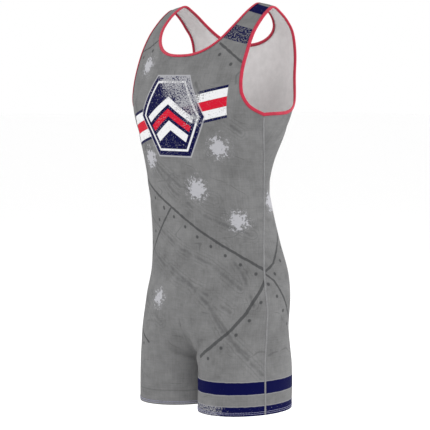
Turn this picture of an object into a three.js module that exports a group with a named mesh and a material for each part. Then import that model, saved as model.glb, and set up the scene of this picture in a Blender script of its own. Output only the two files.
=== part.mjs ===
// A wrestling singlet, filled out as it is when worn, with no wearer inside it.
// Millimetres. +Z is up, the front faces -Y and the wearer's left is +X.
// The origin lies on the mid-plane, level with the tops of the two shoulder straps.
import * as THREE from 'three';

// Driving dimensions.
const CLOTH = 1.2; // thickness of the knitted cloth
const SEAM_GAP = 0.3; // between two sewn pieces
const HEM_FOLD = 8; // height of the leg hem that is turned up inside
const NECK_HALF_WIDTH = 99; // at the strap tops
const NECK_DEPTH = { front: 99, back: 77 };
const NECK_POWER = { front: 2.5, back: 2.3 }; // 2 is an ellipse, more is squarer
const ARMHOLE_BOTTOM = -206;
const BINDING_LEG = 5.5; // how far the binding reaches over the cloth, on each face
const BINDING_CLOTH = 1; // thickness of the binding
const BINDING_GAP = 0.5; // between the binding and the cloth in it
const BINDING_BEVEL = 0.8; // on the binding's two outer corners
const SHOULDER_DROP = 11; // the outer edge of a strap lies this much lower
const SHOULDER_DROP_AT = 140; // at this distance from the mid-plane
const SHOULDER_DROP_DEPTH = 120; // and the drop has faded out this far down
const HIP = -560;
const DIVISION = { from: -565, to: -688 }; // where the body turns into two legs
const GROIN_ROUNDING = 0.5; // how softly the two thighs run into each other

// Steps of the grid on half a panel.
const COLUMNS = 10;
const MARGIN = 0.03; // share of a row that the narrow columns at its two ends take
const LEG_ROWS = 6;
const RISE_ROWS = 8;
const TORSO_ROWS = 12; // from the hip to the armhole
const CHEST_ROWS = 4; // from there to the neckline
const STRAP_ROWS = 13;
// The rows that start near the bottom of the neckline or the armhole dip away from it, so that they don't run
// along it. The slope of the dip is in levels.
const ROW_DIP = { neckline: 4, armhole: 5.5 };
const DIP_REACH = 11; // rows above and below, over which the dip fades out
const EDGE_STRIP = 7; // width of the column of cloth under a binding

// Level sections of the garment, from the strap tops to the leg hems. half is the half width, and front,
// side, back and seam are the places along Y of the front, the widest point, the back and the side seam.
const SECTIONS = [
  { z: 0, half: 186, front: 0, side: 0, back: 0, frontPower: 2, backPower: 3, seam: -30 },
  { z: -8, half: 186, front: -22, side: -3, back: 19, frontPower: 2, backPower: 3, seam: -35 },
  { z: -26, half: 186, front: -49, side: -8, back: 42, frontPower: 2, backPower: 3.2, seam: -40 },
  { z: -55, half: 187, front: -79, side: -14, back: 61, frontPower: 2, backPower: 3.6, seam: -46 },
  { z: -98, half: 189, front: -106, side: -20, back: 69, frontPower: 2, backPower: 3.6, seam: -54 },
  { z: -150, half: 188, front: -130, side: -25, back: 68, frontPower: 2, backPower: 3.2, seam: -58 },
  { z: -200, half: 179, front: -138, side: -27, back: 65, frontPower: 2.1, backPower: 2.7, seam: -59 },
  { z: -250, half: 165, front: -129, side: -29, back: 57, frontPower: 2.1, backPower: 2.4, seam: -50 },
  { z: -300, half: 148, front: -120, side: -33, back: 43, frontPower: 2.2, backPower: 2.3, seam: -34 },
  { z: -345, half: 141, front: -114, side: -32, back: 38, frontPower: 2.2, backPower: 2.2, seam: -27 },
  { z: -395, half: 142, front: -105, side: -26, back: 52, frontPower: 2.2, backPower: 2.2, seam: -28 },
  { z: -450, half: 147, front: -98, side: -18, back: 71, frontPower: 2.2, backPower: 2.2, seam: -32 },
  { z: -510, half: 156, front: -97, side: -9, back: 90, frontPower: 2.2, backPower: 2.2, seam: -35 },
  { z: -565, half: 163, front: -111, side: -10, back: 87, frontPower: 2.2, backPower: 2.2, seam: -36 },
  { z: -620, half: 162, front: -116, side: -15, back: 72, frontPower: 2.2, backPower: 2.2, seam: -38 },
  { z: -672, half: 160, front: -113, side: -17, back: 68, frontPower: 2.2, backPower: 2.2, seam: -39 },
  { z: -710, half: 160, front: -113, side: -17, back: 68, frontPower: 2.2, backPower: 2.2, seam: -39 },
  { z: -764, half: 160, front: -113, side: -17, back: 68, frontPower: 2.2, backPower: 2.2, seam: -39 },
];

// Level sections of the left leg, which are ellipses about (x, y).
const LEG_SECTIONS = [
  { z: -764, x: 81, y: -16, halfWidth: 78, halfDepth: 99 },
  { z: -710, x: 81, y: -15, halfWidth: 78, halfDepth: 99.5 },
  { z: -660, x: 80.5, y: -15, halfWidth: 78, halfDepth: 98.5 },
  { z: -615, x: 80, y: -14, halfWidth: 81, halfDepth: 101 },
  { z: -560, x: 79, y: -12, halfWidth: 83, halfDepth: 103 },
];

// The armhole's edge from the strap top down to the side: its distance from the mid-plane at each height.
const ARMHOLE = {
  front: [
    { x: 139, z: 0 },
    { x: 141, z: -40 },
    { x: 144, z: -90 },
    { x: 145.5, z: -140 },
    { x: 150, z: -172 },
    { x: 160, z: -193 },
  ],
  back: [
    { x: 139, z: 0 },
    { x: 142, z: -30 },
    { x: 139.5, z: -60 },
    { x: 139, z: -110 },
    { x: 141, z: -140 },
    { x: 147, z: -162 },
    { x: 157, z: -181 },
    { x: 171, z: -197 },
  ],
};

const mix = (a, b, t) => a + (b - a) * t;
const clamp = THREE.MathUtils.clamp;
const ease = (t) => t * t * (3 - 2 * t);
const steps = (count) => Array.from({ length: count + 1 }, (_, i) => i / count);

// The place between low and high where test turns from true to false.
function bisect(test, low, high) {
  for (let i = 0; i < 40; i += 1) {
    const middle = (low + high) / 2;
    if (test(middle)) low = middle;
    else high = middle;
  }
  return low;
}

// A smooth curve through the points (xs, ys), with the slope at each point taken from its neighbours.
function curveThrough(xs, ys) {
  const last = xs.length - 1;
  const width = (i) => xs[i + 1] - xs[i];
  const rise = (i) => (ys[i + 1] - ys[i]) / width(i);
  const slope = xs.map((_, i) => {
    if (i === 0) return rise(0);
    if (i === last) return rise(last - 1);
    return (rise(i - 1) * width(i) + rise(i) * width(i - 1)) / (width(i - 1) + width(i));
  });
  return (x) => {
    let i = 0;
    while (i < last - 1 && x >= xs[i + 1]) i += 1;
    const h = width(i);
    const t = (x - xs[i]) / h;
    const start = (1 + 2 * t) * (1 - t) * (1 - t) * ys[i] + t * (1 - t) * (1 - t) * h * slope[i];
    return start + t * t * (3 - 2 * t) * ys[i + 1] + t * t * (t - 1) * h * slope[i + 1];
  };
}

// A level is a row number in SECTIONS, and may lie between two rows. The rows are carried on past the strap
// tops, with front and back changing places, so that the straps run smoothly over the shoulders.
const SWAPS_OVER_THE_TOP = ['front', 'side', 'back'];
const levelNumbers = [-1, ...SECTIONS.keys()];
const columnCurves = Object.keys(SECTIONS[0]).map((name) => {
  const sign = SWAPS_OVER_THE_TOP.includes(name) ? -1 : 1;
  const values = SECTIONS.map((row) => row[name]);
  return [name, curveThrough(levelNumbers, [sign * values[1], ...values])];
});
function sectionAt(level) {
  const section = Object.fromEntries(columnCurves.map(([name, curve]) => [name, curve(level)]));
  section.legs = ease(clamp((section.z - DIVISION.from) / (DIVISION.to - DIVISION.from), 0, 1));
  return section;
}

// The first level lies a hair below the strap tops, where front and back would meet in a line.
const FIRST_LEVEL = 0.001;
const LAST_LEVEL = SECTIONS.length - 1;
const levelOf = (z) => bisect((level) => sectionAt(level).z > z, FIRST_LEVEL, LAST_LEVEL);

const legColumns = ['x', 'y', 'halfWidth', 'halfDepth'].map((name) => [
  name,
  curveThrough(LEG_SECTIONS.map((row) => row.z), LEG_SECTIONS.map((row) => row[name])),
]);
function legAt(z) {
  const inRange = clamp(z, LEG_SECTIONS[0].z, LEG_SECTIONS.at(-1).z);
  return Object.fromEntries(legColumns.map(([name, curve]) => [name, curve(inRange)]));
}

// Below zero inside the garment's section and above zero outside it. The torso's rounded outline turns into
// those of the two legs, which run softly into each other until they part at the crotch.
function field(x, y, section, leg) {
  const inFront = y < section.side;
  const power = inFront ? section.frontPower : section.backPower;
  const depth = inFront ? section.side - section.front : section.back - section.side;
  const across = (Math.abs(x) / section.half) ** power;
  const torso = (across + (Math.abs(y - section.side) / depth) ** power) ** (1 / power) - 1;
  const alongLeg = (y - leg.y) / leg.halfDepth;
  const left = Math.hypot((x - leg.x) / leg.halfWidth, alongLeg) - 1;
  const right = Math.hypot((x + leg.x) / leg.halfWidth, alongLeg) - 1;
  const reach = GROIN_ROUNDING * Math.sqrt(1 - section.legs) + 1e-6;
  const overlap = Math.max(reach - Math.abs(left - right), 0) / reach;
  const legs = Math.min(left, right) - (overlap * overlap * reach) / 4;
  return mix(torso, legs, section.legs);
}

// What a level's rays start from, and the ellipse that their angles are measured on.
function raysAt(level) {
  const section = sectionAt(level);
  const leg = legAt(section.z);
  const share = ease(section.legs); // it goes to the leg's middle a little sooner than the outline does
  return {
    section,
    leg,
    x: share * leg.x,
    y: mix(section.side, leg.y, share),
    halfWidth: mix(section.half, leg.halfWidth, share),
    front: mix(section.side - section.front, leg.halfDepth, share),
    back: mix(section.back - section.side, leg.halfDepth, share),
  };
}

// The point of the garment's outer face at a level and an angle: 0 is the left side, -90 degrees the middle
// of the front and 90 degrees the middle of the back.
function skin(level, angle) {
  const rays = raysAt(level);
  const dx = rays.halfWidth * Math.cos(angle);
  const dy = (angle < 0 ? rays.front : rays.back) * Math.sin(angle);
  const inside = (reach) => {
    const onThisSide = rays.x + reach * dx > -0.01;
    return onThisSide && field(rays.x + reach * dx, rays.y + reach * dy, rays.section, rays.leg) < 0;
  };
  const reach = bisect(inside, 0.2, 2.2);
  const x = rays.x + reach * dx;
  const fade = ease(clamp(1 + rays.section.z / SHOULDER_DROP_DEPTH, 0, 1));
  const drop = SHOULDER_DROP * (Math.abs(x) / SHOULDER_DROP_AT) ** 4 * fade;
  return new THREE.Vector3(x, rays.y + reach * dy, rays.section.z - drop);
}

// Which half of the body a panel covers: 'front' lies at angles below zero.
const signOf = (panel) => (panel === 'front' ? -1 : 1);

// The angle of the point that lies x away from the mid-plane.
function angleAt(level, x, panel) {
  const section = sectionAt(level);
  const power = panel === 'front' ? section.frontPower : section.backPower;
  const across = clamp(x / section.half, 0, 1);
  return signOf(panel) * Math.atan2((1 - across ** power) ** (1 / power), across);
}

function sideSeamAngle(level) {
  const rays = raysAt(level);
  const forward = rays.section.seam - rays.y;
  return Math.asin(forward / (forward < 0 ? rays.front : rays.back));
}

// The angle of the garment's middle: the mid-plane, or the inseam once the legs have parted.
function middleAngle(level, panel, parted) {
  if (parted) return signOf(panel) * Math.PI;
  const rays = raysAt(level);
  const inside = (out) => field(0, rays.y + signOf(panel) * out, rays.section, rays.leg) < 0;
  const out = bisect(inside, 0, 200);
  return signOf(panel) * Math.atan2(out / rays[panel], -rays.x / rays.halfWidth);
}

// The level of the crotch, where the mid-plane first lies wholly outside the section.
const CROTCH_LEVEL = bisect((level) => {
  const rays = raysAt(level);
  return field(0, rays.y, rays.section, rays.leg) < 0;
}, levelOf(HIP), LAST_LEVEL);

// A place on the outer face is a level and an angle. These move it by a few millimetres on that face.
const pointAt = ({ level, angle }) => skin(level, angle);
function slopesAt(place) {
  const step = 0.01;
  const point = pointAt(place);
  return {
    down: skin(place.level + step, place.angle).sub(point).divideScalar(step),
    round: skin(place.level, place.angle + step).sub(point).divideScalar(step),
  };
}
function moved(place, round, down) {
  const slopes = slopesAt(place);
  return {
    level: place.level + down / slopes.down.length(),
    angle: place.angle + round / slopes.round.length(),
  };
}
function besideEdge(place, along, distance) {
  const slopes = slopesAt(place);
  const level = slopes.round.dot(along);
  const angle = -slopes.down.dot(along);
  const across = slopes.down.multiplyScalar(level).addScaledVector(slopes.round, angle);
  const scale = distance / across.length();
  return { level: place.level + scale * level, angle: place.angle + scale * angle };
}

// Evenly spaced places along a cut edge.
function evenly(edge, count) {
  const fine = steps(400).map(edge);
  const points = fine.map(pointAt);
  const lengths = [0];
  for (let i = 1; i < points.length; i += 1) {
    lengths.push(lengths[i - 1] + points[i].distanceTo(points[i - 1]));
  }
  return steps(count).map((share) => {
    const target = share * lengths.at(-1);
    const i = Math.max(1, lengths.findIndex((length) => length >= target - 1e-9));
    const t = (target - lengths[i - 1]) / (lengths[i] - lengths[i - 1]);
    const [a, b] = [fine[i - 1], fine[i]];
    return { level: mix(a.level, b.level, t), angle: mix(a.angle, b.angle, t) };
  });
}

// The neckline of a panel, from the mid-plane to the strap top.
function neckEdge(panel) {
  return (share) => {
    const turn = (share * Math.PI) / 2;
    const power = 2 / NECK_POWER[panel];
    const level = levelOf(-NECK_DEPTH[panel] * Math.max(Math.cos(turn), 0) ** power);
    return { level, angle: angleAt(level, NECK_HALF_WIDTH * Math.sin(turn) ** power, panel) };
  };
}

// The armhole edge of a panel, from the side seam to the strap top.
function armEdge(panel) {
  const bottom = levelOf(ARMHOLE_BOTTOM);
  const corners = ARMHOLE[panel].toReversed().map(({ x, z }) => {
    const level = levelOf(z);
    return { level, angle: angleAt(level, x, panel) };
  });
  corners.unshift({ level: bottom, angle: sideSeamAngle(bottom) });
  const lengths = [0];
  for (let i = 1; i < corners.length; i += 1) {
    const [a, b] = [corners[i - 1], corners[i]];
    lengths.push(lengths[i - 1] + pointAt(a).distanceTo(pointAt(b)));
  }
  const levels = curveThrough(lengths, corners.map((corner) => corner.level));
  const angles = curveThrough(lengths, corners.map((corner) => corner.angle));
  return (share) => {
    const length = share * lengths.at(-1);
    return { level: Math.max(levels(length), FIRST_LEVEL), angle: angles(length) };
  };
}

const mixPlaces = (a, b, t) => ({ level: mix(a.level, b.level, t), angle: mix(a.angle, b.angle, t) });

// The places one strip's width inside a cut edge, which runs from a corner of the cloth to the strap top. At
// the corner that is the same way from both edges, and at the top it is on the line over the shoulder.
function stripPlaces(edge, turn, panel) {
  return edge.map((place, i) => {
    if (i === 0) return moved(place, turn * EDGE_STRIP, EDGE_STRIP);
    const overShoulder = new THREE.Vector3(0, -signOf(panel), 0);
    const along = i + 1 < edge.length ? pointAt(edge[i + 1]).sub(pointAt(edge[i - 1])) : overShoulder;
    return besideEdge(place, along, turn * EDGE_STRIP);
  });
}

// The left half of a panel as rows of points. A row runs from the middle, the inseam or the neckline to the
// side seam or the armhole, and the rows climb from the leg hem to the strap top.
function panelRows(panel) {
  const hipLevel = levelOf(HIP);
  const armLevel = levelOf(ARMHOLE_BOTTOM);
  const hemFoldLevel = levelOf(SECTIONS.at(-1).z + HEM_FOLD);
  const columns = [0, ...steps(COLUMNS).map((share) => mix(MARGIN, 1 - MARGIN, share)), 1];
  const rows = [];
  const addRow = (levelAt, parted) => {
    rows.push(
      columns.map((share) => {
        const level = levelAt(share);
        return skin(level, mix(middleAngle(level, panel, parted), sideSeamAngle(level), share));
      }),
    );
  };

  // The turned-up hem ends in a short step, so its edge has two rows close together.
  for (const level of [LAST_LEVEL, mix(hemFoldLevel, LAST_LEVEL, 0.05), hemFoldLevel]) {
    addRow(() => level, true);
  }
  for (let i = 1; i < LEG_ROWS; i += 1) {
    const q = i / LEG_ROWS;
    const inner = mix(CROTCH_LEVEL, hemFoldLevel, (1 - q) ** 2);
    const outer = mix(hemFoldLevel, CROTCH_LEVEL, q);
    addRow((share) => mix(inner, outer, ease(share)), true);
  }
  const crotchRow = rows.length;
  for (let i = 0; i < RISE_ROWS; i += 1) {
    const q = i / RISE_ROWS;
    const inner = mix(CROTCH_LEVEL, hipLevel, q * q);
    const outer = mix(CROTCH_LEVEL, hipLevel, q);
    addRow((share) => mix(inner, outer, ease(share)), false);
  }

  const middle = steps(TORSO_ROWS + CHEST_ROWS).map((share) => {
    const level = mix(hipLevel, levelOf(-NECK_DEPTH[panel]), share);
    return { level, angle: middleAngle(level, panel, false) };
  });
  const side = steps(TORSO_ROWS).map((share) => {
    const level = mix(hipLevel, armLevel, share);
    return { level, angle: sideSeamAngle(level) };
  });
  const neck = evenly(neckEdge(panel), STRAP_ROWS);
  const arm = evenly(armEdge(panel), CHEST_ROWS + STRAP_ROWS);
  const starts = [...middle, ...neck.slice(1)];
  const ends = [...side, ...arm.slice(1)];
  const towardsSide = -signOf(panel);
  const startStrips = [
    ...middle.slice(0, -1).map((place, i) => mixPlaces(place, ends[i], MARGIN)),
    ...stripPlaces(neck, towardsSide, panel),
  ];
  const endStrips = [
    ...side.slice(0, -1).map((place, i) => mixPlaces(place, starts[i], MARGIN)),
    ...stripPlaces(arm, -towardsSide, panel),
  ];
  for (const [i, start] of starts.entries()) {
    const dipsAt = (rowsAway) => ease(Math.max(0, 1 - Math.abs(rowsAway) / DIP_REACH));
    const neckDip = ROW_DIP.neckline * dipsAt(i - TORSO_ROWS - CHEST_ROWS);
    const armDip = ROW_DIP.armhole * dipsAt(i - TORSO_ROWS);
    const between = steps(COLUMNS).map((share) => {
      const place = mixPlaces(startStrips[i], endStrips[i], share);
      place.level += share * (1 - share) * (neckDip * (1 - share) + armDip * share);
      return place;
    });
    rows.push([start, ...between, ends[i]].map(pointAt));
  }
  const neckRow = rows.length - 1 - STRAP_ROWS;
  const armRow = neckRow - CHEST_ROWS;
  const halfPanel = { rows, crotchRow, neckRow, armRow };
  openSeams(halfPanel, panel);
  return halfPanel;
}

// Draws the sewn edges of a half panel back by half the seam gap, and puts its middle on the mid-plane.
function openSeams({ rows, crotchRow, neckRow, armRow }, panel) {
  const half = SEAM_GAP / 2;
  for (const [i, row] of rows.entries()) {
    const [before, edge] = row.slice(-2);
    if (i <= armRow) edge.add(before.clone().sub(edge).setLength(half));
    if (i <= crotchRow) row[0].y += signOf(panel) * half;
    if (i >= crotchRow && i <= neckRow) row[0].x = 0;
  }
  for (const point of rows.at(-1)) point.y += signOf(panel) * half;
}

// Puts the two halves of a panel together as one sheet: points, their wall thickness, and four-sided faces.
function panelSheet({ rows, crotchRow, neckRow }, panel) {
  const points = [];
  const thickness = [];
  const faces = [];
  const idsOf = (mirror, shared) =>
    rows.map((row, i) =>
      row.map((point, j) => {
        if (shared && j === 0 && i >= crotchRow && i <= neckRow) return shared[i][0];
        points.push(new THREE.Vector3(point.x * mirror, point.y, point.z));
        thickness.push(i < 2 ? 2 * CLOTH : CLOTH);
        return points.length - 1;
      }),
    );
  const left = idsOf(1, null);
  const right = idsOf(-1, left);
  for (const [ids, turned] of [
    [left, panel === 'back'],
    [right, panel === 'front'],
  ]) {
    for (let i = 0; i + 1 < rows.length; i += 1) {
      for (let j = 0; j + 1 < rows[i].length; j += 1) {
        const [a, b, c, d] = [ids[i][j], ids[i][j + 1], ids[i + 1][j + 1], ids[i + 1][j]];
        faces.push(turned ? [a, d, c, b] : [a, b, c, d]);
      }
    }
  }
  return { points, thickness, faces, normals: sheetNormals(points, faces), left };
}

function sheetNormals(points, faces) {
  const normals = points.map(() => new THREE.Vector3());
  for (const face of faces) {
    const [a, b, c, d] = face.map((id) => points[id]);
    const normal = c.clone().sub(a).cross(d.clone().sub(b)).normalize();
    for (const id of face) normals[id].add(normal);
  }
  return normals.map((normal) => normal.normalize());
}

function geometryOf(points, triangles) {
  const geometry = new THREE.BufferGeometry();
  geometry.setAttribute('position', new THREE.Float32BufferAttribute(points.flatMap((p) => p.toArray()), 3));
  geometry.setIndex(triangles);
  geometry.computeVertexNormals();
  return geometry;
}

// Gives points that face each other across a seam one normal, so that the two walls run side by side.
function matchNormals(a, b) {
  for (const [i, normal] of a.normals.entries()) {
    const j = b.points.findIndex((point) => point.distanceTo(a.points[i]) < 2 * SEAM_GAP);
    if (j < 0) continue;
    normal.add(b.normals[j]).normalize();
    b.normals[j].copy(normal);
  }
}

// The closed wall of a sheet: its outer face, an inner face one thickness behind it, and the rim between.
function wallGeometry({ points, thickness, faces, normals }) {
  const count = points.length;
  const inner = points.map((point, i) => point.clone().addScaledVector(normals[i], -thickness[i]));
  const triangles = [];
  const rim = new Map();
  for (const [a, b, c, d] of faces) {
    triangles.push(a, b, c, a, c, d);
    triangles.push(a + count, c + count, b + count, a + count, d + count, c + count);
    for (const [from, to] of [[a, b], [b, c], [c, d], [d, a]]) {
      if (!rim.delete(`${to},${from}`)) rim.set(`${from},${to}`, [from, to]);
    }
  }
  for (const [from, to] of rim.values()) {
    triangles.push(from, from + count, to + count, from, to + count, to);
  }
  return geometryOf([...points, ...inner], triangles);
}

// The folded strip that binds a cut edge. In a section of it, out points away from the cloth's edge and up
// away from its face; the strip wraps the edge in a U and its two legs lie along the cloth.
const BINDING_SECTION = (() => {
  const over = BINDING_GAP;
  const top = over + BINDING_CLOTH;
  const under = -CLOTH - over;
  const bottom = under - BINDING_CLOTH;
  return [
    { out: -BINDING_LEG, up: over },
    { out: over, up: over },
    { out: over, up: under },
    { out: -BINDING_LEG, up: under },
    { out: -BINDING_LEG, up: bottom },
    { out: over + BINDING_CLOTH - BINDING_BEVEL, up: bottom },
    { out: over + BINDING_CLOTH, up: bottom + BINDING_BEVEL },
    { out: over + BINDING_CLOTH, up: top - BINDING_BEVEL },
    { out: over + BINDING_CLOTH - BINDING_BEVEL, up: top },
    { out: -BINDING_LEG, up: top },
  ];
})();

// A closed binding along stations, each with a point on the cloth's edge and the direction into the cloth.
// The cloth lies on the left of the path, seen from outside.
function bindingGeometry(stations) {
  const count = stations.length;
  const size = BINDING_SECTION.length;
  const points = [];
  const triangles = [];
  for (const [i, { point, into }] of stations.entries()) {
    const ahead = (i + 1) % count;
    const along = stations[ahead].point.clone().sub(stations[(i + count - 1) % count].point).normalize();
    const up = along.clone().cross(into).normalize();
    const out = along.clone().cross(up);
    const overCloth = into.clone().divideScalar(into.dot(out));
    for (const corner of BINDING_SECTION) {
      const across = corner.out < 0 ? overCloth : out;
      points.push(point.clone().addScaledVector(across, corner.out).addScaledVector(up, corner.up));
    }
    for (let j = 0; j < size; j += 1) {
      const next = (j + 1) % size;
      const [a, b, c, d] = [i * size + j, ahead * size + j, ahead * size + next, i * size + next];
      triangles.push(a, b, c, a, c, d);
    }
  }
  return geometryOf(points, triangles);
}

// The stations on the left edge of a panel from a corner's row up to the strap top. The binding runs
// straight down from the corner, and elsewhere as the strip of cloth under it does.
function edgeStations(sheet, column, beside, cornerRow) {
  return sheet.left.slice(cornerRow).map((row, i) => {
    const point = sheet.points[row[column]].clone();
    const inner = i === 0 ? sheet.left[cornerRow - 1][column] : row[beside];
    return { point, into: sheet.points[inner].clone().sub(point).normalize() };
  });
}

// One station half way between two that face each other across a seam.
function joined(a, b) {
  return {
    point: a.point.clone().add(b.point).multiplyScalar(0.5),
    into: a.into.clone().add(b.into).normalize(),
  };
}

const mirrored = ({ point, into }) => ({
  point: point.clone().setX(-point.x),
  into: into.clone().setX(-into.x),
});

const panels = { front: panelRows('front'), back: panelRows('back') };
const sheets = { front: panelSheet(panels.front, 'front'), back: panelSheet(panels.back, 'back') };
matchNormals(sheets.front, sheets.back);

function neckStations() {
  const front = edgeStations(sheets.front, 0, 1, panels.front.neckRow);
  const back = edgeStations(sheets.back, 0, 1, panels.back.neckRow).reverse();
  const left = [...front.slice(0, -1), joined(front.at(-1), back[0]), ...back.slice(1)];
  const right = left.slice(1, -1).reverse().map(mirrored);
  return [...left, ...right].reverse();
}

function leftArmholeStations() {
  const last = COLUMNS + 2;
  const front = edgeStations(sheets.front, last, last - 1, panels.front.armRow);
  const back = edgeStations(sheets.back, last, last - 1, panels.back.armRow).reverse();
  const bottom = joined(front[0], back.at(-1));
  const crest = joined(front.at(-1), back[0]);
  return [bottom, ...front.slice(1, -1), crest, ...back.slice(1, -1)];
}

// The same geometry on the other side of the mid-plane.
function mirroredGeometry(geometry) {
  const copy = geometry.clone().scale(-1, 1, 1);
  copy.setIndex([...copy.index.array].reverse());
  copy.computeVertexNormals();
  return copy;
}

const materials = {
  cloth: new THREE.MeshStandardMaterial({ color: 0x7f8080, roughness: 0.75, metalness: 0 }),
  binding: new THREE.MeshStandardMaterial({ color: 0xb8304a, roughness: 0.7, metalness: 0 }),
};

const singlet = new THREE.Group();
function addPiece(name, geometry, material) {
  const piece = new THREE.Mesh(geometry, material);
  piece.name = name;
  singlet.add(piece);
}

addPiece('front_panel', wallGeometry(sheets.front), materials.cloth);
addPiece('back_panel', wallGeometry(sheets.back), materials.cloth);
addPiece('neck_binding', bindingGeometry(neckStations()), materials.binding);
const leftArmholeBinding = bindingGeometry(leftArmholeStations());
addPiece('left_armhole_binding', leftArmholeBinding, materials.binding);
addPiece('right_armhole_binding', mirroredGeometry(leftArmholeBinding), materials.binding);

export default singlet;
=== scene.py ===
import math

import bpy
import numpy as np
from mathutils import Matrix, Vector


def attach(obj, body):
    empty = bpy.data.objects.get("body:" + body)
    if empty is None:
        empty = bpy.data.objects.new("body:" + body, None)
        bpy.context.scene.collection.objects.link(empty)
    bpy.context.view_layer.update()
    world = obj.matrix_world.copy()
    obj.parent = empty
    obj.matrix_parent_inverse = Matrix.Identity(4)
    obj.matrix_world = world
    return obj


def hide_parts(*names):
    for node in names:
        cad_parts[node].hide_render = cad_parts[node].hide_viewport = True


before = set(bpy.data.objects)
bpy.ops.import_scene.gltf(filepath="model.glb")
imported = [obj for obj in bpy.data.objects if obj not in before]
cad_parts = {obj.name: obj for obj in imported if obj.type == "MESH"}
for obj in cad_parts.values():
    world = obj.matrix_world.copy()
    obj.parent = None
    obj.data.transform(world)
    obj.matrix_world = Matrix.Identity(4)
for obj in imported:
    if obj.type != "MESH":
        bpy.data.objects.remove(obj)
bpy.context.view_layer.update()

# The garment's form. Its tables are in millimetres, and everything that is built from it is in metres.
MM = 0.001
CLOTH = 1.2
SEAM_GAP = 0.3
SECTION_COLUMNS = ("z", "half", "front", "side", "back", "front_power", "back_power", "seam")
SECTIONS = [
    (0, 186, 0, 0, 0, 2, 3, -30),
    (-8, 186, -22, -3, 19, 2, 3, -35),
    (-26, 186, -49, -8, 42, 2, 3.2, -40),
    (-55, 187, -79, -14, 61, 2, 3.6, -46),
    (-98, 189, -106, -20, 69, 2, 3.6, -54),
    (-150, 188, -130, -25, 68, 2, 3.2, -58),
    (-200, 179, -138, -27, 65, 2.1, 2.7, -59),
    (-250, 165, -129, -29, 57, 2.1, 2.4, -50),
    (-300, 148, -120, -33, 43, 2.2, 2.3, -34),
    (-345, 141, -114, -32, 38, 2.2, 2.2, -27),
    (-395, 142, -105, -26, 52, 2.2, 2.2, -28),
    (-450, 147, -98, -18, 71, 2.2, 2.2, -32),
    (-510, 156, -97, -9, 90, 2.2, 2.2, -35),
    (-565, 163, -111, -10, 87, 2.2, 2.2, -36),
    (-620, 162, -116, -15, 72, 2.2, 2.2, -38),
    (-672, 160, -113, -17, 68, 2.2, 2.2, -39),
    (-710, 160, -113, -17, 68, 2.2, 2.2, -39),
    (-764, 160, -113, -17, 68, 2.2, 2.2, -39),
]
LEG_COLUMNS = ("z", "x", "y", "half_width", "half_depth")
LEG_SECTIONS = [
    (-764, 81, -16, 78, 99),
    (-710, 81, -15, 78, 99.5),
    (-660, 80.5, -15, 78, 98.5),
    (-615, 80, -14, 81, 101),
    (-560, 79, -12, 83, 103),
]
ARMHOLE = {  # distance from the mid-plane and height, from the strap top down to the side
    "front": [(139, 0), (141, -40), (144, -90), (145.5, -140), (150, -172), (160, -193)],
    "back": [
        (139, 0), (142, -30), (139.5, -60), (139, -110), (141, -140), (147, -162), (157, -181), (171, -197)
    ],
}
ARMHOLE_BOTTOM = -206
NECK_HALF_WIDTH = 99
NECK_DEPTH = {"front": 99, "back": 77}
NECK_POWER = {"front": 2.5, "back": 2.3}
SHOULDER_DROP = 11
SHOULDER_DROP_AT = 140
SHOULDER_DROP_DEPTH = 120
HIP = -560
DIVISION_FROM = -565
DIVISION_TO = -688
GROIN_ROUNDING = 0.5
HEM_FOLD = 8
FIRST_LEVEL = 0.001
LAST_LEVEL = len(SECTIONS) - 1
FARTHEST = 200.0  # farther from the middle of a section than its outline ever is
HALVINGS = 40
SLOPE_STEP = 0.01

# The grid of half a panel: its steps, and how many fine steps each of them is split into afterwards.
COLUMNS = 10
MARGIN = 0.03
LEG_ROWS = 6
RISE_ROWS = 8
TORSO_ROWS = 12
CHEST_ROWS = 4
STRAP_ROWS = 13
ROW_DIP = {"neckline": 4, "armhole": 5.5}
DIP_REACH = 11
EDGE_STRIP = 7
FINE = 4
HEM_ROWS = 2 * FINE
SIGN = {"front": -1, "back": 1}


def mix(a, b, t):
    return a + (b - a) * t


def ease(t):
    return t * t * (3 - 2 * t)


def bisect(test, low, high):
    """The place between low and high where test turns from true to false, for arrays of any one shape."""
    for _ in range(HALVINGS):
        middle = (low + high) / 2
        inside = test(middle)
        low = np.where(inside, middle, low)
        high = np.where(inside, high, middle)
    return low


def lengths_along(path):
    """The distance from the start of a path to each of its points."""
    return np.append(0, np.cumsum(np.linalg.norm(np.diff(path, axis=0), axis=1)))


def curve_through(xs, ys):
    """A smooth curve through the points (xs, ys)."""
    xs = np.asarray(xs, float)
    ys = np.asarray(ys, float)
    width = np.diff(xs)
    rise = np.diff(ys) / width
    weighted = (rise[:-1] * width[1:] + rise[1:] * width[:-1]) / (width[:-1] + width[1:])
    slope = np.concatenate([rise[:1], weighted, rise[-1:]])

    def curve(x):
        i = np.clip(np.searchsorted(xs, x, side="right") - 1, 0, len(width) - 1)
        t = (x - xs[i]) / width[i]
        start = (1 + 2 * t) * (1 - t) ** 2 * ys[i] + t * (1 - t) ** 2 * width[i] * slope[i]
        return start + t * t * (3 - 2 * t) * ys[i + 1] + t * t * (t - 1) * width[i] * slope[i + 1]

    return curve


def section_curves():
    curves = {}
    for name, values in zip(SECTION_COLUMNS, zip(*SECTIONS)):
        # Past the strap tops, front and back change places.
        sign = -1 if name in ("front", "side", "back") else 1
        curves[name] = curve_through(range(-1, len(values)), (sign * values[1],) + values)
    return curves


SECTION_CURVES = section_curves()
LEG_CURVES = {
    name: curve_through([row[0] for row in LEG_SECTIONS], values)
    for name, values in zip(LEG_COLUMNS, zip(*LEG_SECTIONS))
}


def section_at(level):
    section = {name: curve(level) for name, curve in SECTION_CURVES.items()}
    section["legs"] = ease(np.clip((section["z"] - DIVISION_FROM) / (DIVISION_TO - DIVISION_FROM), 0, 1))
    return section


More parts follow.
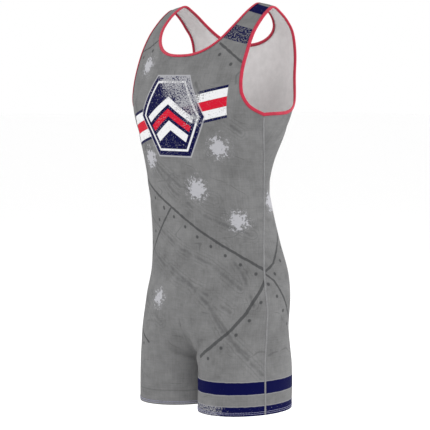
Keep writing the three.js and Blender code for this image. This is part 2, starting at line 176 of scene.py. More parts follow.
def level_of(z):
    """The level of each height in an array. Levels count the sections down from the strap top."""
    highest = np.full(np.shape(z), FIRST_LEVEL)
    lowest = np.full(np.shape(z), float(LAST_LEVEL))
    return bisect(lambda level: section_at(level)["z"] > z, highest, lowest)


def level_at(height):
    return float(level_of(np.array(float(height))))


def field(x, y, section, leg):
    """Below zero inside the garment's section, above zero outside it."""
    in_front = y < section["side"]
    power = np.where(in_front, section["front_power"], section["back_power"])
    depth = np.where(in_front, section["side"] - section["front"], section["back"] - section["side"])
    sideways = (np.abs(x) / section["half"]) ** power
    fore_and_aft = (np.abs(y - section["side"]) / depth) ** power
    torso = (sideways + fore_and_aft) ** (1 / power) - 1
    along = (y - leg["y"]) / leg["half_depth"]
    left = np.hypot((x - leg["x"]) / leg["half_width"], along) - 1
    right = np.hypot((x + leg["x"]) / leg["half_width"], along) - 1
    reach = GROIN_ROUNDING * np.sqrt(1 - section["legs"]) + 1e-6
    overlap = np.maximum(reach - np.abs(left - right), 0) / reach
    legs = np.minimum(left, right) - overlap * overlap * reach / 4
    return mix(torso, legs, section["legs"])


def rays_at(level):
    section = section_at(level)
    z = np.clip(section["z"], LEG_SECTIONS[0][0], LEG_SECTIONS[-1][0])
    leg = {name: curve(z) for name, curve in LEG_CURVES.items()}
    share = ease(section["legs"])
    return {
        "section": section,
        "leg": leg,
        "x": share * leg["x"],
        "y": mix(section["side"], leg["y"], share),
        "half_width": mix(section["half"], leg["half_width"], share),
        "front": mix(section["side"] - section["front"], leg["half_depth"], share),
        "back": mix(section["back"] - section["side"], leg["half_depth"], share),
    }


def skin(level, angle):
    """The outer face at a level and an angle: 0 is the left side, -90 degrees the middle of the front."""
    rays = rays_at(level)
    dx = rays["half_width"] * np.cos(angle)
    dy = np.where(angle < 0, rays["front"], rays["back"]) * np.sin(angle)

    def inside(reach):
        x = rays["x"] + reach * dx
        return (x > -0.01) & (field(x, rays["y"] + reach * dy, rays["section"], rays["leg"]) < 0)

    reach = bisect(inside, np.full(dx.shape, 0.2), np.full(dx.shape, 2.2))
    x = rays["x"] + reach * dx
    fade = ease(np.clip(1 + rays["section"]["z"] / SHOULDER_DROP_DEPTH, 0, 1))
    drop = SHOULDER_DROP * (np.abs(x) / SHOULDER_DROP_AT) ** 4 * fade
    return np.stack([x, rays["y"] + reach * dy, rays["section"]["z"] - drop], -1)


def angle_at(level, x, panel):
    section = section_at(level)
    power = section[panel + "_power"]
    across = np.clip(x / section["half"], 0, 1)
    return SIGN[panel] * np.arctan2((1 - across**power) ** (1 / power), across)


def side_seam_angle(level):
    rays = rays_at(level)
    forward = rays["section"]["seam"] - rays["y"]
    return np.arcsin(forward / np.where(forward < 0, rays["front"], rays["back"]))


def middle_angle(level, panel, parted):
    """The angle of the mid-plane, or of the inseam where the legs have parted."""
    rays = rays_at(level)
    nothing = np.zeros(level.shape)

    def inside(out):
        return field(nothing, rays["y"] + SIGN[panel] * out, rays["section"], rays["leg"]) < 0

    out = bisect(inside, nothing, np.full(level.shape, FARTHEST))
    middle = SIGN[panel] * np.arctan2(out / rays[panel], -rays["x"] / rays["half_width"])
    return np.where(parted, SIGN[panel] * np.pi, middle)


def crotch_level():
    def whole(level):
        rays = rays_at(level)
        return field(np.zeros(level.shape), rays["y"], rays["section"], rays["leg"]) < 0

    return float(bisect(whole, np.array(level_at(HIP)), np.array(float(LAST_LEVEL))))


CROTCH_LEVEL = crotch_level()


def slopes_at(level, angle):
    """How the outer face moves for each unit of level and of angle."""
    point = skin(level, angle)
    down = (skin(level + SLOPE_STEP, angle) - point) / SLOPE_STEP
    round_ = (skin(level, angle + SLOPE_STEP) - point) / SLOPE_STEP
    return down, round_


def beside_edge(level, angle, along, distance):
    """Places that lie distance from an edge that runs along, measured on the outer face."""
    down, round_ = slopes_at(level, angle)
    down_share = (round_ * along).sum(-1)
    round_share = -(down * along).sum(-1)
    across = down * down_share[..., None] + round_ * round_share[..., None]
    scale = distance / np.linalg.norm(across, axis=-1)
    return level + scale * down_share, angle + scale * round_share


def neck_edge(panel, share):
    turn = share * np.pi / 2
    power = 2 / NECK_POWER[panel]
    level = level_of(-NECK_DEPTH[panel] * np.maximum(np.cos(turn), 0) ** power)
    return level, angle_at(level, NECK_HALF_WIDTH * np.sin(turn) ** power, panel)


def arm_edge(panel, share):
    bottom = level_at(ARMHOLE_BOTTOM)
    corners = np.array(ARMHOLE[panel][::-1], float)
    level = level_of(corners[:, 1])
    angle = angle_at(level, corners[:, 0], panel)
    level = np.append(bottom, level)
    angle = np.append(side_seam_angle(bottom), angle)
    length = lengths_along(skin(level, angle))
    at = share * length[-1]
    return np.maximum(curve_through(length, level)(at), FIRST_LEVEL), curve_through(length, angle)(at)


def evenly(edge, panel, count):
    """Evenly spaced places along a cut edge: their levels and angles."""
    level, angle = edge(panel, np.linspace(0, 1, 401))
    length = lengths_along(skin(level, angle))
    at = np.linspace(0, length[-1], count + 1)
    return np.interp(at, length, level), np.interp(at, length, angle)


def strip_places(edge, turn, panel):
    """The places one strip's width inside a cut edge, which runs from a corner up to the strap top."""
    level, angle = edge
    points = skin(level, angle)
    along = np.empty_like(points)
    along[1:-1] = points[2:] - points[:-2]
    along[0] = points[1] - points[0]
    along[-1] = (0, -SIGN[panel], 0)
    strip_level, strip_angle = beside_edge(level, angle, along, turn * EDGE_STRIP)
    down, round_ = slopes_at(level[:1], angle[:1])
    strip_level[0] = level[0] + EDGE_STRIP / np.linalg.norm(down)
    strip_angle[0] = angle[0] + turn * EDGE_STRIP / np.linalg.norm(round_)
    return strip_level, strip_angle


def finer(grid, breaks):
    """The grid with each step split. Columns run smoothly between the breaks, the rows with corners."""
    parts = []
    for first, last in zip(breaks[:-1], breaks[1:]):
        at = np.linspace(first, last, (last - first) * FINE + 1)
        rows = np.arange(first, last + 1)
        part = np.stack([curve_through(rows, column)(at) for column in grid[first : last + 1].T], -1)
        parts.append(part if last == breaks[-1] else part[:-1])
    grid = np.concatenate(parts)
    at = np.linspace(0, grid.shape[1] - 1, (grid.shape[1] - 1) * FINE + 1)
    return np.stack([np.interp(at, np.arange(grid.shape[1]), row) for row in grid])


def half_panel(panel):
    """The left half of a panel as grids of levels and angles, with the rows of its corners."""
    hip = level_at(HIP)
    arm_level = level_at(ARMHOLE_BOTTOM)
    neck_level = level_at(-NECK_DEPTH[panel])
    hem_fold = level_at(SECTIONS[-1][0] + HEM_FOLD)
    shares = np.concatenate([[0], np.linspace(MARGIN, 1 - MARGIN, COLUMNS + 1), [1]])
    levels, angles = [], []

    def add_row(level, parted):
        level = np.broadcast_to(level, shares.shape).astype(float)
        levels.append(level)
        angles.append(mix(middle_angle(level, panel, parted), side_seam_angle(level), shares))

    for share in (0, 0.5, 1):
        add_row(mix(float(LAST_LEVEL), hem_fold, share), True)
    for i in range(1, LEG_ROWS):
        q = i / LEG_ROWS
        at_middle = mix(CROTCH_LEVEL, hem_fold, (1 - q) ** 2)
        at_side = mix(hem_fold, CROTCH_LEVEL, q)
        add_row(mix(at_middle, at_side, ease(shares)), True)
    crotch_row = len(levels)
    for i in range(RISE_ROWS):
        q = i / RISE_ROWS
        at_middle = mix(CROTCH_LEVEL, hip, q * q)
        at_side = mix(CROTCH_LEVEL, hip, q)
        add_row(mix(at_middle, at_side, ease(shares)), False)

    middle_level = np.linspace(hip, neck_level, TORSO_ROWS + CHEST_ROWS + 1)
    middle = middle_level, middle_angle(middle_level, panel, False)
    side_level = np.linspace(hip, arm_level, TORSO_ROWS + 1)
    side = side_level, side_seam_angle(side_level)
    neck = evenly(neck_edge, panel, STRAP_ROWS)
    arm = evenly(arm_edge, panel, CHEST_ROWS + STRAP_ROWS)
    neck_strip = strip_places(neck, -SIGN[panel], panel)
    arm_strip = strip_places(arm, SIGN[panel], panel)
    start, end, start_strip, end_strip = [], [], [], []
    for k in (0, 1):
        start.append(np.concatenate([middle[k], neck[k][1:]]))
        end.append(np.concatenate([side[k], arm[k][1:]]))
    for k in (0, 1):
        below_neck = mix(middle[k][:-1], end[k][: len(middle[k]) - 1], MARGIN)
        below_arm = mix(side[k][:-1], start[k][: len(side[k]) - 1], MARGIN)
        start_strip.append(np.concatenate([below_neck, neck_strip[k]]))
        end_strip.append(np.concatenate([below_arm, arm_strip[k]]))
    share = np.linspace(0, 1, COLUMNS + 1)
    row = np.arange(len(start[0]))
    near_neck = ease(np.maximum(0, 1 - np.abs(row - TORSO_ROWS - CHEST_ROWS) / DIP_REACH))
    near_arm = ease(np.maximum(0, 1 - np.abs(row - TORSO_ROWS) / DIP_REACH))
    for i in row:
        neck_dip = ROW_DIP["neckline"] * near_neck[i] * (1 - share)
        arm_dip = ROW_DIP["armhole"] * near_arm[i] * share
        dip = share * (1 - share) * (neck_dip + arm_dip)
        level = mix(start_strip[0][i], end_strip[0][i], share) + dip
        angle = mix(start_strip[1][i], end_strip[1][i], share)
        levels.append(np.concatenate([[start[0][i]], level, [end[0][i]]]))
        angles.append(np.concatenate([[start[1][i]], angle, [end[1][i]]]))
    last_row = len(levels) - 1
    neck_row = last_row - STRAP_ROWS
    arm_row = neck_row - CHEST_ROWS
    breaks = (0, 2, crotch_row, arm_row, neck_row, last_row)
    return {
        "level": finer(np.array(levels), breaks),
        "angle": finer(np.array(angles), breaks),
        "crotch_row": crotch_row * FINE,
        "neck_row": neck_row * FINE,
        "arm_row": arm_row * FINE,
    }


def across(level, angle, panel):
    """The distance along the cloth from a panel's middle, in mm, at a constant level."""
    steps = 24
    middle = np.full(level.shape, SIGN[panel] * np.pi / 2)
    share = np.linspace(0, 1, steps + 1).reshape((-1,) + (1,) * level.ndim)
    line = skin(np.broadcast_to(level, (steps + 1,) + level.shape), mix(middle, angle, share))
    length = np.linalg.norm(np.diff(line, axis=0), axis=-1).sum(0)
    outwards = np.where((angle - middle) * SIGN[panel] <= 0, 1, -1)
    return rays_at(level)["x"] + outwards * length


# Creases: depth and half width in mm, and the places that they run through, each a height in mm and an
# angle in degrees. 0 is the left side, -90 the middle of the front and 90 the middle of the back. On a leg
# the angle is round that leg. A negative depth makes a ridge. Both sides have them unless a side is named.
CREASES = [
    # The groin, from beside the crotch out towards the hip.
    (5.6, 6, "both", [(-674, -170), (-664, -142), (-650, -114), (-630, -90)]),
    (2.8, 4.5, "both", [(-678, -172), (-672, -152), (-664, -134)]),
    (1.8, 8, "left", [(-668, -150), (-652, -118), (-622, -92), (-590, -76)]),
    (1.5, 6, "right", [(-666, -148), (-654, -122), (-633, -98), (-612, -84)]),
    (-2.0, 8, "right", [(-650, -158), (-642, -136), (-632, -112)]),
    (-1.3, 9, "left", [(-676, -150), (-667, -120), (-652, -95), (-634, -70)]),
    # Short drags below the belly.
    (1.0, 5, "left", [(-592, -104), (-600, -96), (-604, -84)]),
    (1.1, 5, "right", [(-578, -100), (-588, -92), (-596, -80)]),
    (0.8, 4, "right", [(-606, -110), (-611, -98), (-612, -88)]),
    # The waist.
    (1.2, 11, "left", [(-340, -8), (-352, -34), (-357, -62), (-352, -80)]),
    (1.0, 9, "right", [(-366, -4), (-374, -30), (-372, -58)]),
    (0.9, 8, "left", [(-388, -2), (-398, -26), (-402, -48)]),
    (-0.9, 10, "right", [(-330, -10), (-344, -36), (-350, -60)]),
    (1.1, 9, "both", [(-352, 16), (-360, 40), (-362, 66)]),
    (0.9, 8, "left", [(-330, 22), (-338, 48), (-336, 74)]),
    (1.0, 9, "right", [(-384, 18), (-396, 44), (-398, 70)]),
    # Below the arms, towards the chest and the back.
    (1.2, 9, "both", [(-214, -6), (-228, -22), (-246, -36), (-268, -46)]),
    (0.9, 7, "left", [(-232, -2), (-252, -14), (-280, -24)]),
    (1.0, 8, "right", [(-226, 4), (-246, 16), (-272, 26)]),
    (1.1, 9, "both", [(-210, 8), (-224, 24), (-240, 42), (-262, 56)]),
    # The seat and the backs of the thighs.
    (2.0, 8, "both", [(-676, 166), (-670, 140), (-662, 112), (-650, 84), (-640, 60)]),
    (1.2, 7, "left", [(-664, 150), (-650, 124), (-628, 98)]),
    (1.3, 7, "right", [(-660, 146), (-640, 116), (-618, 100)]),
    (1.0, 9, "both", [(-500, 60), (-512, 76), (-515, 90)]),
    # Slack down the outsides of the legs.
    (0.8, 10, "left", [(-640, -20), (-672, -30), (-705, -28), (-738, -34)]),
    (0.7, 9, "right", [(-650, -40), (-690, -48), (-730, -46)]),
    (0.8, 9, "both", [(-660, 40), (-694, 48), (-732, 44)]),
]
CREASE_STEPS = 40


def crease_lines():
    """Each crease as points on the skin, with its depth at each point and its half width."""
    lines = []
    for depth, width, side, places in CREASES:
        height, degrees = np.array(places, float).T
        at = np.linspace(0, len(places) - 1, CREASE_STEPS)
        z = curve_through(range(len(places)), height)(at)
        angle = np.radians(curve_through(range(len(places)), degrees)(at))
        points = skin(level_of(z), angle)
        share = np.linspace(0, 1, CREASE_STEPS)
        depths = depth * np.sin(np.pi * share) ** 0.7
        if side in ("left", "both"):
            lines.append((points, depths, width))
        if side in ("right", "both"):
            lines.append((points * (-1, 1, 1), depths, width))
    return lines


CREASE_LINES = crease_lines()


def crease_height(points):
    """How far the creases move points along their normals: a trough with a low ridge on each side."""
    height = np.zeros(len(points))
    for line, depths, width in CREASE_LINES:
        apart = np.linalg.norm(points[:, None] - line[None], axis=-1)
        nearest = apart.argmin(1)
        distance = apart[np.arange(len(points)), nearest] / width
        trough = np.exp(-(distance**2)) - 0.45 * np.exp(-((distance / 2.1) ** 2))
        height -= depths[nearest] * trough
    return height


def sheet_normals(points, faces):
    corners = points[faces]
    across_face = np.cross(corners[:, 2] - corners[:, 0], corners[:, 3] - corners[:, 1])
    across_face /= np.maximum(np.linalg.norm(across_face, axis=1), 1e-9)[:, None]
    normals = np.zeros_like(points)
    for corner in range(4):
        np.add.at(normals, faces[:, corner], across_face)
    return normals / np.maximum(np.linalg.norm(normals, axis=1), 1e-9)[:, None]


def open_seams(points, half, panel):
    """Draws the sewn edges back by half the seam gap, and puts the middle on the mid-plane."""
    gap = SEAM_GAP / 2
    arm_row, crotch_row, neck_row = half["arm_row"], half["crotch_row"], half["neck_row"]
    inwards = points[: arm_row + 1, -2] - points[: arm_row + 1, -1]
    points[: arm_row + 1, -1] += gap * inwards / np.linalg.norm(inwards, axis=-1)[:, None]
    points[: crotch_row + 1, 0, 1] += SIGN[panel] * gap
    points[crotch_row : neck_row + 1, 0, 0] = 0
    points[-1, :, 1] += SIGN[panel] * gap


def panel_sheet(panel):
    """A whole panel: points, places on the flat cloth, faces, normals, and the ids of its two halves."""
    half = half_panel(panel)
    points = skin(half["level"], half["angle"])
    open_seams(points, half, panel)
    flat = np.stack([across(half["level"], half["angle"], panel), points[..., 2]], -1)
    rows, columns = points.shape[:2]
    left = np.arange(rows * columns).reshape(rows, columns)
    right = left + rows * columns
    middle = slice(half["crotch_row"], half["neck_row"] + 1)
    right[middle, 0] = left[middle, 0]
    all_points = np.concatenate([points.reshape(-1, 3), points.reshape(-1, 3) * (-1, 1, 1)])
    all_flat = np.concatenate([flat.reshape(-1, 2), flat.reshape(-1, 2) * (-1, 1)])
    faces = []
    for ids, turned in ((left, panel == "back"), (right, panel == "front")):
        quads = np.stack([ids[:-1, :-1], ids[:-1, 1:], ids[1:, 1:], ids[1:, :-1]], -1).reshape(-1, 4)
        faces.append(quads[:, ::-1] if turned else quads)
    faces = np.concatenate(faces)
    normals = sheet_normals(all_points, faces)
    all_points = all_points + normals * crease_height(all_points)[:, None]
    return {
        "points": all_points,
        "flat": all_flat,
        "faces": faces,
        "normals": sheet_normals(all_points, faces),
        "left": left,
        "right": right,
        "half": half,
    }


def mesh_object(name, points, faces, materials, material_ids=None, flat=None, sharp=()):
    """A mesh in metres from points in mm. Points that no face uses are left out."""
    used = np.unique(np.concatenate([np.ravel(face) for face in faces]))
    new_id = np.zeros(len(points), int)
    new_id[used] = np.arange(len(used))
    mesh = bpy.data.meshes.new(name)
    mesh.from_pydata((points[used] * MM).tolist(), [], [[int(new_id[i]) for i in face] for face in faces])
    for material in materials:
        mesh.materials.append(material)
    if material_ids is not None:
        mesh.polygons.foreach_set("material_index", np.asarray(material_ids, np.int32))
    if flat is not None:
        corner_points = np.empty(len(mesh.loops), np.int32)
        mesh.loops.foreach_get("vertex_index", corner_points)
        places = flat[used][corner_points] * MM
        mesh.uv_layers.new(name="flat").data.foreach_set("uv", places.astype(np.float32).ravel())
    mesh.polygons.foreach_set("use_smooth", np.ones(len(mesh.polygons), bool))
    sharp = {tuple(sorted((int(new_id[a]), int(new_id[b])))) for a, b in sharp}
    for edge in mesh.edges:
        if tuple(sorted(edge.vertices)) in sharp:
            edge.use_edge_sharp = True
    mesh.update()
    piece = bpy.data.objects.new(name, mesh)
    bpy.context.scene.collection.objects.link(piece)
    return piece


def panel_piece(name, sheet, printed, inside):
    """A panel as a closed wall, printed outside and plain inside, with double hems printed all round."""
    points, faces = sheet["points"], sheet["faces"]
    count = len(points)
    thickness = np.full(count, CLOTH)
    hem_ids = np.concatenate([sheet[side][:HEM_ROWS].ravel() for side in ("left", "right")])
    thickness[hem_ids] = 2 * CLOTH
    inner = points - sheet["normals"] * thickness[:, None]
    edges = set()
    for face in faces:
        for start, end in zip(face, np.roll(face, -1)):
            if (end, start) in edges:
                edges.remove((end, start))
            else:
                edges.add((start, end))
    edges = sorted((int(start), int(end)) for start, end in edges)
    rim = [(start, start + count, end + count, end) for start, end in edges]
    sharp = edges + [(start + count, end + count) for start, end in edges]
    in_hem = np.isin(faces, hem_ids).all(1)
    material_ids = np.concatenate([np.zeros(len(faces)), np.where(in_hem, 0, 1), np.zeros(len(rim))])
    return mesh_object(
        name,
        np.concatenate([points, inner]),
        faces.tolist() + (faces[:, ::-1] + count).tolist() + rim,
        [printed, inside],
        material_ids,
        np.concatenate([sheet["flat"], sheet["flat"]]),
        sharp,
    )


def unit(vectors):
    return vectors / np.maximum(np.linalg.norm(vectors, axis=-1), 1e-9)[..., None]


def along_path(path, closed):
    if closed:
        return unit(np.roll(path, -1, 0) - np.roll(path, 1, 0))
    return unit(np.gradient(path, axis=0))


def swept(path, out, up, section, closed):
    """Points and faces of a section swept along a path. Its corners are distances out and up."""
    section = np.asarray(section, float)
    points = path[:, None] + out[:, None] * section[None, :, :1] + up[:, None] * section[None, :, 1:]
    count, size = points.shape[:2]
    ids = np.arange(count * size).reshape(count, size)
    ahead = np.roll(ids, -1, 0) if closed else ids[1:]
    here = ids if closed else ids[:-1]
    quads = np.stack([here, np.roll(here, -1, 1), np.roll(ahead, -1, 1), ahead], -1).reshape(-1, 4)
    faces = quads.tolist()
    if not closed:
        faces += [ids[0][::-1].tolist(), ids[-1].tolist()]
    return points.reshape(-1, 3), faces


# The binding in section: out is away from the cut edge, up is away from the face of the cloth. The last
# numbers are the fold of the outer face, from the stitched edge of the outer leg round to the inner one.
BINDING_SECTION = [
    (-4.3, 0.35), (-2.2, 0.4), (0.5, 0.4), (0.6, -0.6), (0.5, -1.6), (-2.2, -1.6), (-4.3, -1.55),
    (-4.6, -1.9), (-4.5, -2.3), (-3.6, -2.2), (-2.4, -2.5), (-1.0, -2.6), (0.4, -2.4), (1.2, -1.75),
    (1.5, -0.6), (1.2, 0.55), (0.4, 1.2), (-1.0, 1.4), (-2.4, 1.3), (-3.6, 1.0), (-4.5, 1.1),
    (-4.6, 0.7),
]
BINDING_STITCH_OUT = -3.6
BINDING_STITCH_UP = 1.05
BINDING_INNER_STITCH_UP = -2.25


def edge_stations(sheet, column, beside, corner_row):
    """Points on a panel's left edge from a corner up to the strap top, and the ways into the cloth."""
    rows = sheet["left"][corner_row:]
    points = sheet["points"][rows[:, column]]
    inner = sheet["points"][rows[:, beside]]
    inner[0] = sheet["points"][sheet["left"][corner_row - FINE, column]]
    return points, unit(inner - points)


def loop_of(front, back):
    """Stations up the front edge and down the back edge. Where the two meet, they share one."""
    points = np.concatenate([front[0][:-1], [(front[0][-1] + back[0][-1]) / 2], back[0][-2::-1]])
    into = np.concatenate([front[1][:-1], [front[1][-1] + back[1][-1]], back[1][-2::-1]])
    return points, unit(into)


def neck_stations(sheets):
    edges = [edge_stations(sheets[panel], 0, FINE, sheets[panel]["half"]["neck_row"]) for panel in SIGN]
    points, into = loop_of(*edges)
    points = np.concatenate([points, points[-2:0:-1] * (-1, 1, 1)])
    into = np.concatenate([into, into[-2:0:-1] * (-1, 1, 1)])
    return points[::-1], into[::-1]


def armhole_stations(sheets):
    edges = [edge_stations(sheets[panel], -1, -1 - FINE, sheets[panel]["half"]["arm_row"]) for panel in SIGN]
    points, into = loop_of(*edges)
    points[0] = (points[0] + points[-1]) / 2
    into[0] = unit(into[0] + into[-1])
    return points[:-1], into[:-1]


def binding_frame(points, into):
    """The directions away from the cloth's face and away from its cut edge."""
    along = along_path(points, True)
    up = unit(np.cross(along, into))
    return up, np.cross(along, up)


THREAD_RINGS = ((0, 0.4), (0.14, 1), (0.5, 1), (0.86, 1), (1, 0.4))
THREAD_SIDES = 6


def threads(starts, ends, ups, radius, arch):
    """Points and faces of short threads from each start to each end, arched along ups."""
    along = unit(ends - starts)
    up = unit(ups - along * (ups * along).sum(-1, keepdims=True))
    side = np.cross(along, up)
    turn = np.arange(THREAD_SIDES) * 2 * np.pi / THREAD_SIDES
    rings = []
    for share, size in THREAD_RINGS:
        centre = mix(starts, ends, share) + up * arch * np.sin(np.pi * share)
        ring = side[:, None] * np.cos(turn)[None, :, None] + up[:, None] * np.sin(turn)[None, :, None]
        rings.append(centre[:, None] + radius * size * ring)
    points = np.stack(rings, 1)
    count, ring_count, sides = points.shape[:3]
    ids = np.arange(count * ring_count * sides).reshape(count, ring_count, sides)
    here, ahead = ids[:, :-1], ids[:, 1:]
    quads = np.stack([here, np.roll(here, -1, 2), np.roll(ahead, -1, 2), ahead], -1).reshape(-1, 4)
    faces = quads.tolist() + ids[:, 0, ::-1].tolist() + ids[:, -1].tolist()
    return points.reshape(-1, 3), faces


def spaced(path, vectors, pitch, closed=False):
    """Points one pitch apart along a path, with the vectors there."""
    if closed:
        path = np.concatenate([path, path[:1]])
        vectors = [np.concatenate([v, v[:1]]) for v in vectors]
    length = lengths_along(path)
    at = np.linspace(0, length[-1], max(2, round(length[-1] / pitch) + 1))

    def resample(values):
        return np.stack([np.interp(at, length, values[:, k]) for k in range(3)], -1)

    return resample(path), [unit(resample(v)) for v in vectors]


def stitch_row(path, up, pitch, share, radius, closed=False):
    """A row of running stitches, each as long as its share of the pitch."""
    points, (ups,) = spaced(path, [up], pitch, closed)
    return threads(points[:-1], mix(points[:-1], points[1:], share), ups[:-1], radius, STITCH_ARCH)


def joined(parts):
    """Several (points, faces) as one."""
    points, faces, offset = [], [], 0
    for part_points, part_faces in parts:
        points.append(part_points)
        faces += [[i + offset for i in face] for face in part_faces]
        offset += len(part_points)
    return np.concatenate(points), faces


SEAM_SECTION = [(-1.7, 0.05), (1.7, 0.05), (1.8, 0.25), (1.3, 0.5), (0, 0.38), (-1.3, 0.5), (-1.8, 0.25)]
SEAM_HALF_WIDTH = 1.4
SEAM_THREAD_PITCH = 1.7
SEAM_THREAD_RADIUS = 0.22
SEAM_THREAD_ARCH = 0.12
SEAM_CROSSING_UP = 0.5
SEAM_STITCH_UP = 0.56
STITCH_ARCH = 0.15


def flat_seam(path, up):
    """A flat seam: a low ridge with threads that cross it and a row of stitches down each side."""
    along = along_path(path, False)
    up = unit(up - along * (up * along).sum(-1, keepdims=True))
    out = np.cross(along, up)
    ridge = swept(path, out, up, SEAM_SECTION, False)
    points, (ups, outs) = spaced(path, [up, out], SEAM_THREAD_PITCH)
    raised = points + ups * SEAM_CROSSING_UP
    reach = outs * SEAM_HALF_WIDTH
    starts, ends = raised[:-1] - reach[:-1], raised[1:] + reach[1:]
    crossing = threads(starts, ends, ups[:-1], SEAM_THREAD_RADIUS, SEAM_THREAD_ARCH)
    edges = (-SEAM_HALF_WIDTH, SEAM_HALF_WIDTH)
    lifted = path + up * SEAM_STITCH_UP
    rows = [stitch_row(lifted + out * side, up, 2.6, 0.86, SEAM_THREAD_RADIUS) for side in edges]
    return joined([ridge, crossing] + rows)


def between(sheets, ids):
    """The path half way between the front and back panels' edges, and the mean normals there."""
    points = sum(sheets[panel]["points"][ids[panel]] for panel in ("front", "back")) / 2
    normals = sum(sheets[panel]["normals"][ids[panel]] for panel in ("front", "back"))
    return points, unit(normals)


class Shading:
    """The shader nodes of one material. A value is a number, a tuple or another node's socket."""

    def __init__(self, name):
        self.material = bpy.data.materials.new(name)
        self.material.use_nodes = True
        self.nodes = self.material.node_tree.nodes
        self.links = self.material.node_tree.links
        self.shader = self.nodes["Principled BSDF"]
        coordinates = self.nodes.new("ShaderNodeTexCoord")
        self.flat = self.vector("SCALE", coordinates.outputs["UV"], scale=1 / MM)
        self.place = self.vector("SCALE", coordinates.outputs["Object"], scale=1 / MM)
        self.u, self.v, _ = self.split(self.flat)
        self.x, self.y, self.z = self.split(self.place)

    def put(self, socket, value):
        if isinstance(value, bpy.types.NodeSocket):
            self.links.new(value, socket)
        elif socket.type == "RGBA":
            socket.default_value = (*value, 1)
        else:
            socket.default_value = value

    def math(self, operation, *values):
        node = self.nodes.new("ShaderNodeMath")
        node.operation = operation
        for socket, value in zip(node.inputs, values):
            self.put(socket, value)
        return node.outputs[0]

    def add(self, *values):
        total = values[0]
        for value in values[1:]:
            total = self.math("ADD", total, value)
        return total

    def times(self, *values):
        product = values[0]
        for value in values[1:]:
            product = self.math("MULTIPLY", product, value)
        return product

    def vector(self, operation, *values, scale=None):
        node = self.nodes.new("ShaderNodeVectorMath")
        node.operation = operation
        for socket, value in zip(node.inputs, values):
            self.put(socket, value)
        if scale is not None:
            self.put(node.inputs["Scale"], scale)
        return node.outputs["Value" if operation in ("DISTANCE", "DOT_PRODUCT", "LENGTH") else "Vector"]

    def split(self, vector):
        node = self.nodes.new("ShaderNodeSeparateXYZ")
        self.put(node.inputs[0], vector)
        return node.outputs

    def fade(self, value, start, end, low=0.0, high=1.0):
        """Smoothly from low at start to high at end."""
        node = self.nodes.new("ShaderNodeMapRange")
        node.interpolation_type = "SMOOTHSTEP"
        for socket, number in zip(node.inputs, (value, start, end, low, high)):
            self.put(socket, number)
        return node.outputs[0]

    def noise(self, vector, size, detail=3.0, roughness=0.55, stretch=(1, 1, 1)):
        """Noise from 0 to 1 whose features are about size mm across, stretched along each axis."""
        node = self.nodes.new("ShaderNodeTexNoise")
        scaled = self.vector("MULTIPLY", vector, tuple(1 / (size * s) for s in stretch))
        self.put(node.inputs["Vector"], scaled)
        self.put(node.inputs["Scale"], 1.0)
        self.put(node.inputs["Detail"], detail)
        self.put(node.inputs["Roughness"], roughness)
        return node.outputs["Fac"]

    def mix(self, factor, a, b):
        node = self.nodes.new("ShaderNodeMix")
        node.data_type = "RGBA"
        sockets = {socket.identifier: socket for socket in node.inputs}
        self.put(sockets["Factor_Float"], factor)
        self.put(sockets["A_Color"], a)
        self.put(sockets["B_Color"], b)
        return next(socket for socket in node.outputs if socket.type == "RGBA")

    def bump(self, height, distance, strength=1.0, normal=None):
        node = self.nodes.new("ShaderNodeBump")
        self.put(node.inputs["Height"], height)
        self.put(node.inputs["Distance"], distance)
        self.put(node.inputs["Strength"], strength)
        if normal is not None:
            self.put(node.inputs["Normal"], normal)
        return node.outputs["Normal"]

    def finish(self, **inputs):
        for name, value in inputs.items():
            self.put(self.shader.inputs[name.replace("_", " ")], value)
        return self.material


GREY = (0.14, 0.14, 0.141)
DARK_LINE = (0.034, 0.035, 0.037)
NAVY = (0.0012, 0.0018, 0.036)
PALE = (0.42, 0.42, 0.45)
WHITE = (0.6, 0.6, 0.61)
PRINT_RED = (0.45, 0.008, 0.025)
INSIDE = (0.6, 0.585, 0.585)
CRIMSON = (0.37, 0.01, 0.036)
SEAM_GREY = (0.205, 0.205, 0.21)
RIVET_PITCH = 34
RIVET_OFFSET = 14
RIVET_RADIUS = 3.3

# Printed panel lines, in mm across the cloth from a panel's middle and in height. The last two numbers of
# each are its half width and the side on which its rivets lie: 1 below a line that runs to the left.
FRONT_LINES = [
    ([(-176, -300), (-140, -322), (-92, -347), (-28, -382), (45, -426), (115, -463), (176, -498)], 2.3, 1),
    ([(-28, -386), (-70, -428), (-110, -470), (-172, -520)], 1.8, 1),
    ([(176, -500), (168, -530), (148, -573), (120, -608), (90, -634), (58, -658)], 2.9, -1),
    ([(-176, -610), (-130, -622), (-84, -646)], 1.6, 1),
    ([(86, -78), (112, -93), (146, -114)], 1.8, 1),
    ([(-146, -92), (-112, -84), (-88, -70)], 1.3, 1),
]
BACK_LINES = [
    ([(229, -499), (202, -484), (176, -459), (150, -432), (112, -406), (52, -384), (-30, -366), (-196, -330)],
     1.8, -1),
    ([(231, -500), (214, -516), (204, -534), (182, -572), (150, -606), (104, -640)], 1.8, -1),
    ([(-52, -366), (-70, -420), (-118, -474), (-204, -516)], 1.4, 1),
    ([(-206, -604), (-150, -628), (-98, -656)], 1.6, -1),
    ([(-150, -180), (-80, -204), (0, -212), (80, -204), (150, -180)], 1.6, 1),
]

